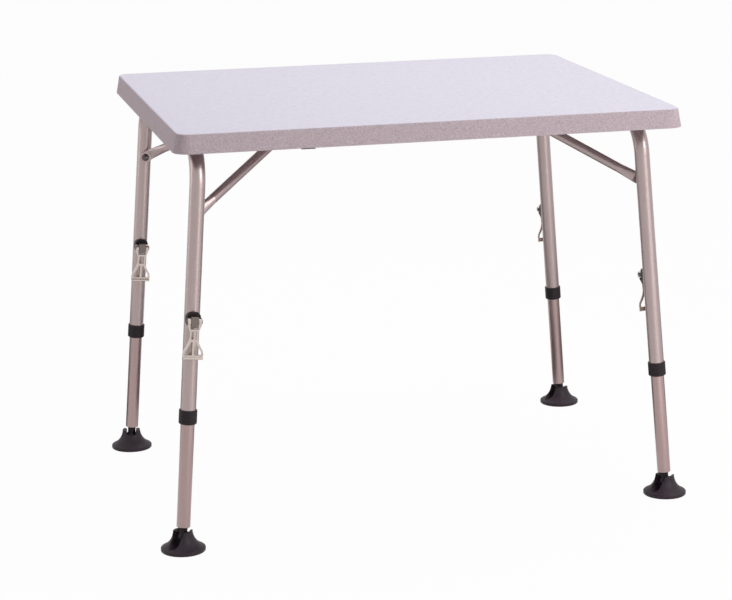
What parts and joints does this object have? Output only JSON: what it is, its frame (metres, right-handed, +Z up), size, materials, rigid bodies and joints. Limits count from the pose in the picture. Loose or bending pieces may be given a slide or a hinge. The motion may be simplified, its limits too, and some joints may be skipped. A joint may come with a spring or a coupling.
{
  "type": "folding camping table",
  "caption": "Folding table with a moulded skirted top, two folding tube leg frames with braces, telescopic cam-clamped legs and swivelling ball-jointed feet.",
  "frame": {"origin": "on the floor under the middle of the top", "axes": "+Z up, +X along the long side of the top, -Y towards the front"},
  "size_m": [0.9876, 0.7896, 0.731],
  "materials": {
    "moulded_top": "fine linen grain",
    "anodised_tube": "satin anodised",
    "black_nylon": "moulded",
    "foot_rubber": "moulded",
    "nickel": "satin plated",
    "zinc": "plated"
  },
  "bodies": {
    "table": {"tabletop": "moulded_top", "underside_screws": "zinc", "left_hinge_blocks": "black_nylon", "left_hinge_straps": "zinc", "left_brace_catch": "black_nylon", "left_leg_clip": "black_nylon", "right_hinge_blocks": "black_nylon", "right_hinge_straps": "zinc", "right_brace_catch": "black_nylon", "right_leg_clip": "black_nylon"},
    "left_frame": {"left_leg_frame": "anodised_tube", "left_brace_rivets": "zinc", "front_left_collar": "black_nylon", "front_left_clamp_seat": "black_nylon", "front_left_clamp_bolt": "zinc", "front_left_barrel_nut": "nickel", "back_left_collar": "black_nylon", "back_left_clamp_seat": "black_nylon", "back_left_clamp_bolt": "zinc", "back_left_barrel_nut": "nickel"},
    "left_brace_bar": {"left_brace": "anodised_tube"},
    "right_frame": {"right_leg_frame": "anodised_tube", "right_brace_rivets": "zinc", "back_right_collar": "black_nylon", "back_right_clamp_seat": "black_nylon", "back_right_clamp_bolt": "zinc", "back_right_barrel_nut": "nickel", "front_right_collar": "black_nylon", "front_right_clamp_seat": "black_nylon", "front_right_clamp_bolt": "zinc", "front_right_barrel_nut": "nickel"},
    "right_brace_bar": {"right_brace": "anodised_tube"},
    "front_left_lower_leg": {"front_left_lower_tube": "anodised_tube", "front_left_guide_bush": "black_nylon", "front_left_end_plug": "black_nylon"},
    "front_left_lever": {"front_left_cam_lever": "nickel"},
    "front_left_stud": {"front_left_ball_stud": "black_nylon"},
    "front_left_sole": {"front_left_foot": "foot_rubber"},
    "back_right_lower_leg": {"back_right_lower_tube": "anodised_tube", "back_right_guide_bush": "black_nylon", "back_right_end_plug": "black_nylon"},
    "back_right_lever": {"back_right_cam_lever": "nickel"},
    "back_right_stud": {"back_right_ball_stud": "black_nylon"},
    "back_right_sole": {"back_right_foot": "foot_rubber"},
    "back_left_lower_leg": {"back_left_lower_tube": "anodised_tube", "back_left_guide_bush": "black_nylon", "back_left_end_plug": "black_nylon"},
    "back_left_lever": {"back_left_cam_lever": "nickel"},
    "back_left_stud": {"back_left_ball_stud": "black_nylon"},
    "back_left_sole": {"back_left_foot": "foot_rubber"},
    "front_right_lower_leg": {"front_right_lower_tube": "anodised_tube", "front_right_guide_bush": "black_nylon", "front_right_end_plug": "black_nylon"},
    "front_right_lever": {"front_right_cam_lever": "nickel"},
    "front_right_stud": {"front_right_ball_stud": "black_nylon"},
    "front_right_sole": {"front_right_foot": "foot_rubber"}
  },
  "joints": [
    {"name": "left_frame_fold", "type": "hinge", "parent": "table", "child": "left_frame", "pos_m": [-0.404, -0.0368, 0.694], "axis": [0, -1, 0], "range_deg": [0, 89]},
    {"name": "left_brace_swing", "type": "hinge", "parent": "left_frame", "child": "left_brace_bar", "pos_m": [-0.41227, -0.0368, 0.58505], "axis": [0, 1, 0], "range_deg": [0, 118]},
    {"name": "right_frame_fold", "type": "hinge", "parent": "table", "child": "right_frame", "pos_m": [0.404, 0.0368, 0.694], "axis": [0, 1, 0], "range_deg": [0, 89]},
    {"name": "right_brace_swing", "type": "hinge", "parent": "right_frame", "child": "right_brace_bar", "pos_m": [0.41227, 0.0368, 0.58505], "axis": [0, -1, 0], "range_deg": [0, 118]},
    {"name": "front_left_leg_slide", "type": "slide", "parent": "left_frame", "child": "front_left_lower_leg", "axis": [0.0756, 0.0262, 0.9968], "range_m": [-0.01, 0.135]},
    {"name": "front_left_lever_swing", "type": "hinge", "parent": "left_frame", "child": "front_left_lever", "pos_m": [-0.4255, -0.37365, 0.41064], "axis": [-0.9971, 0, 0.0757], "range_deg": [0, 110]},
    {"name": "front_left_stud_turn", "type": "hinge", "parent": "front_left_lower_leg", "child": "front_left_stud", "pos_m": [-0.45485, -0.35579, 0.024], "axis": [0.0756, 0.0262, 0.9968], "continuous": true},
    {"name": "front_left_foot_tilt", "type": "hinge", "parent": "front_left_stud", "child": "front_left_sole", "pos_m": [-0.45485, -0.35579, 0.024], "axis": [-0.6428, 0.766, 0], "range_deg": [-12, 55]},
    {"name": "back_right_leg_slide", "type": "slide", "parent": "right_frame", "child": "back_right_lower_leg", "axis": [-0.0756, -0.0262, 0.9968], "range_m": [-0.01, 0.135]},
    {"name": "back_right_lever_swing", "type": "hinge", "parent": "right_frame", "child": "back_right_lever", "pos_m": [0.4255, 0.37365, 0.41064], "axis": [0.9971, 0, 0.0757], "range_deg": [0, 110]},
    {"name": "back_right_stud_turn", "type": "hinge", "parent": "back_right_lower_leg", "child": "back_right_stud", "pos_m": [0.45485, 0.35579, 0.024], "axis": [-0.0756, -0.0262, 0.9968], "continuous": true},
    {"name": "back_right_foot_tilt", "type": "hinge", "parent": "back_right_stud", "child": "back_right_sole", "pos_m": [0.45485, 0.35579, 0.024], "axis": [-0.225, 0.9744, 0], "range_deg": [-12, 55]},
    {"name": "back_left_leg_slide", "type": "slide", "parent": "left_frame", "child": "back_left_lower_leg", "axis": [0.0756, -0.0262, 0.9968], "range_m": [-0.01, 0.135]},
    {"name": "back_left_lever_swing", "type": "hinge", "parent": "left_frame", "child": "back_left_lever", "pos_m": [-0.42562, 0.24407, 0.40918], "axis": [-0.9971, 0, 0.0757], "range_deg": [0, 110]},
    {"name": "back_left_stud_turn", "type": "hinge", "parent": "back_left_lower_leg", "child": "back_left_stud", "pos_m": [-0.45485, 0.28219, 0.024], "axis": [0.0756, -0.0262, 0.9968], "continuous": true},
    {"name": "back_left_foot_tilt", "type": "hinge", "parent": "back_left_stud", "child": "back_left_sole", "pos_m": [-0.45485, 0.28219, 0.024], "axis": [0.9848, -0.1736, 0], "range_deg": [-12, 55]},
    {"name": "front_right_leg_slide", "type": "slide", "parent": "right_frame", "child": "front_right_lower_leg", "axis": [-0.0756, 0.0262, 0.9968], "range_m": [-0.01, 0.135]},
    {"name": "front_right_lever_swing", "type": "hinge", "parent": "right_frame", "child": "front_right_lever", "pos_m": [0.42562, -0.24407, 0.40918], "axis": [0.9971, 0, 0.0757], "range_deg": [0, 110]},
    {"name": "front_right_stud_turn", "type": "hinge", "parent": "front_right_lower_leg", "child": "front_right_stud", "pos_m": [0.45485, -0.28219, 0.024], "axis": [-0.0756, 0.0262, 0.9968], "continuous": true},
    {"name": "front_right_foot_tilt", "type": "hinge", "parent": "front_right_stud", "child": "front_right_sole", "pos_m": [0.45485, -0.28219, 0.024], "axis": [-0.454, 0.891, 0], "range_deg": [-12, 55]}
  ],
  "couplings": [
    {"joint": "left_brace_swing", "follows": "left_frame_fold", "ratio": 1.3157},
    {"joint": "right_brace_swing", "follows": "right_frame_fold", "ratio": 1.3157}
  ]
}
